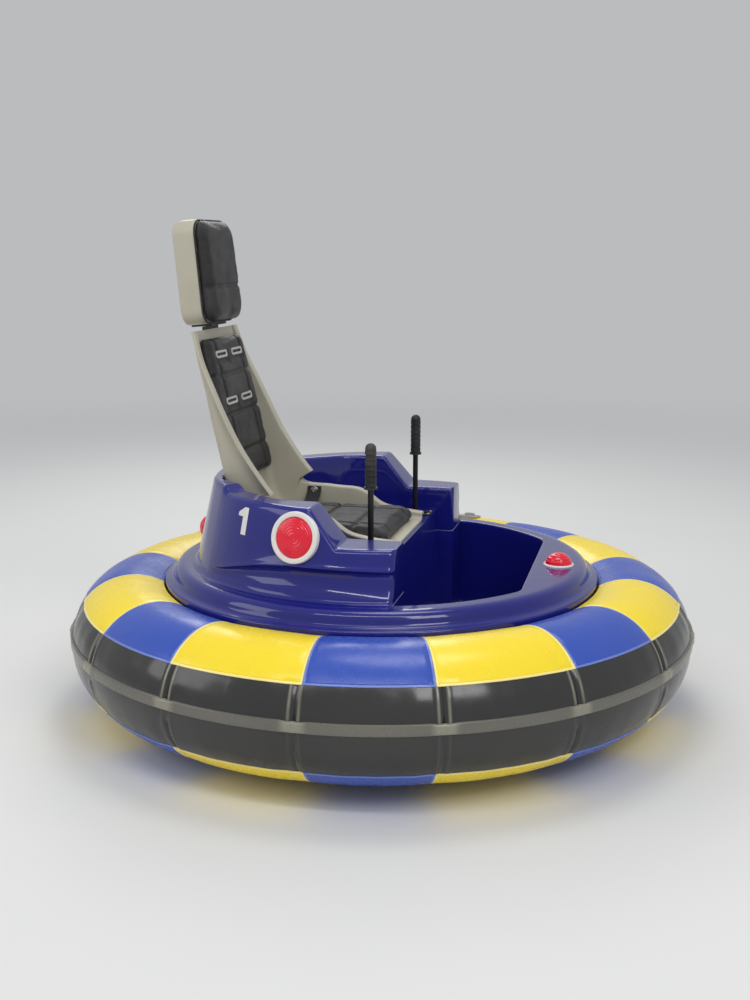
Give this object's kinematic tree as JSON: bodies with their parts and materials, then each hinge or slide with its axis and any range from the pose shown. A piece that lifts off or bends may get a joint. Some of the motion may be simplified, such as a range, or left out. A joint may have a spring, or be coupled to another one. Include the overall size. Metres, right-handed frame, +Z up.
{
  "type": "battery bumper car with round inflated tube",
  "caption": "Round bumper car: inflated tube with coloured panels, moulded body, bucket seat with headrest, drive levers, lamps, driven wheels and swivel casters.",
  "frame": {"origin": "on the floor, under the middle of the round tube", "axes": "+X forward, +Y to the rider's left, +Z up"},
  "size_m": [1.8278, 1.8278, 1.4116],
  "materials": {
    "tube_vinyl": "gloss",
    "panel_yellow": "gloss",
    "panel_blue": "gloss",
    "strip_vinyl": "satin",
    "valve_plastic": "satin",
    "body_shell": "gloss",
    "seat_moulding": "satin",
    "seat_vinyl": "grained",
    "guide_plastic": "satin",
    "webbing": "woven",
    "buckle_plastic": "satin",
    "lamp_white": "gloss",
    "lamp_red": "gloss",
    "floor_rubber": "ribbed",
    "frame_steel": "satin black",
    "lever_steel": "gloss black",
    "grip_rubber": "ribbed",
    "battery_case": "satin",
    "motor_paint": "satin grey",
    "hub_metal": "cast",
    "tyre_rubber": "matt",
    "zinc_steel": "zinc plated",
    "caster_rubber": "matt"
  },
  "bodies": {
    "car": {"tube": "tube_vinyl", "tube_panels_yellow": "panel_yellow", "tube_panels_blue": "panel_blue", "rub_strip": "strip_vinyl", "tube_valve": "valve_plastic", "tube_cradle": "frame_steel", "chassis_plate": "frame_steel", "tub": "body_shell", "floor_mat": "floor_rubber", "deck": "body_shell", "pod_left": "body_shell", "pod_right": "body_shell", "rear_cowl": "body_shell", "seat_riser": "body_shell", "seat_shell": "seat_moulding", "seat_cushion": "seat_vinyl", "back_cushion": "seat_vinyl", "belt_guides": "guide_plastic", "belt_left": "webbing", "belt_right": "webbing", "belt_buckle": "buckle_plastic", "headrest_shell": "seat_moulding", "headrest_pad": "seat_vinyl", "headrest_bracket": "frame_steel", "lamp_bezels": "lamp_white", "lamp_lenses": "lamp_red", "lever_mounts": "frame_steel", "battery_left": "battery_case", "battery_right": "battery_case", "drive_motor_left": "motor_paint", "drive_motor_right": "motor_paint", "drive_mounts": "frame_steel", "caster_plates": "zinc_steel"},
    "lever_left": {"lever_shaft_left": "lever_steel", "lever_grip_left": "grip_rubber"},
    "lever_right": {"lever_shaft_right": "lever_steel", "lever_grip_right": "grip_rubber"},
    "wheel_left": {"drive_hub_left": "hub_metal", "drive_tyre_left": "tyre_rubber"},
    "wheel_right": {"drive_hub_right": "hub_metal", "drive_tyre_right": "tyre_rubber"},
    "fork_front": {"caster_fork_front": "zinc_steel"},
    "fork_rear": {"caster_fork_rear": "zinc_steel"},
    "roller_front": {"caster_wheel_front": "caster_rubber"},
    "roller_rear": {"caster_wheel_rear": "caster_rubber"}
  },
  "joints": [
    {"name": "wheel_left_spin", "type": "hinge", "parent": "car", "child": "wheel_left", "pos_m": [0, 0.44, 0.1], "axis": [0, 1, 0], "continuous": true},
    {"name": "wheel_right_spin", "type": "hinge", "parent": "car", "child": "wheel_right", "pos_m": [0, -0.44, 0.1], "axis": [0, 1, 0], "continuous": true},
    {"name": "caster_front_swivel", "type": "hinge", "parent": "car", "child": "fork_front", "pos_m": [0.395, 0, 0.1], "axis": [0, 0, 1], "continuous": true},
    {"name": "caster_front_roll", "type": "hinge", "parent": "fork_front", "child": "roller_front", "pos_m": [0.365, 0, 0.042], "axis": [0, 1, 0], "continuous": true},
    {"name": "caster_rear_swivel", "type": "hinge", "parent": "car", "child": "fork_rear", "pos_m": [-0.395, 0, 0.1], "axis": [0, 0, 1], "continuous": true},
    {"name": "caster_rear_roll", "type": "hinge", "parent": "fork_rear", "child": "roller_rear", "pos_m": [-0.425, 0, 0.042], "axis": [0, 1, 0], "continuous": true},
    {"name": "lever_left_tilt", "type": "hinge", "parent": "car", "child": "lever_left", "pos_m": [0.04, 0.3, 0.41], "axis": [0, 1, 0], "range_deg": [-16, 16], "stiffness_Nm_per_rad": 12},
    {"name": "lever_right_tilt", "type": "hinge", "parent": "car", "child": "lever_right", "pos_m": [0.04, -0.3, 0.41], "axis": [0, 1, 0], "range_deg": [-16, 16], "stiffness_Nm_per_rad": 12}
  ]
}
